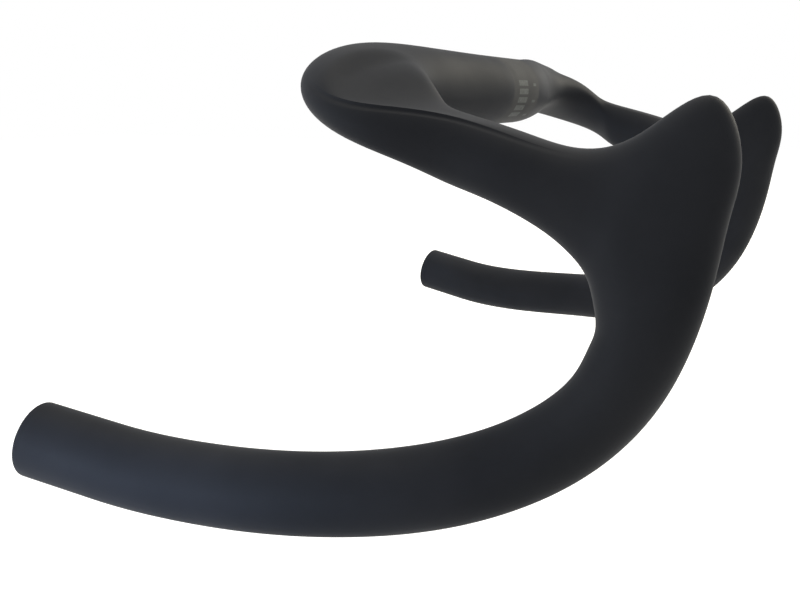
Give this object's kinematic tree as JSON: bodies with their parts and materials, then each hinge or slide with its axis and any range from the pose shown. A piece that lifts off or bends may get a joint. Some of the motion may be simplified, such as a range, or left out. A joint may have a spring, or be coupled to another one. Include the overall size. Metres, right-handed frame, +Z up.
{
  "type": "bicycle sprint handlebar",
  "caption": "One-piece aero sprint handlebar: a swept wing with a round stem clamp zone, forward arms with tall shoulder horns, deep hooks and flared round drops with open ends.",
  "frame": {"origin": "middle of the stem clamp zone, on its axis", "axes": "+X to the rider's right along the clamp axis, +Y forward, +Z up"},
  "size_m": [0.4172, 0.2453, 0.1728],
  "materials": {
    "carbon": "matte black moulded carbon composite"
  },
  "bodies": {
    "root": {"handlebar": "carbon"}
  },
  "joints": []
}
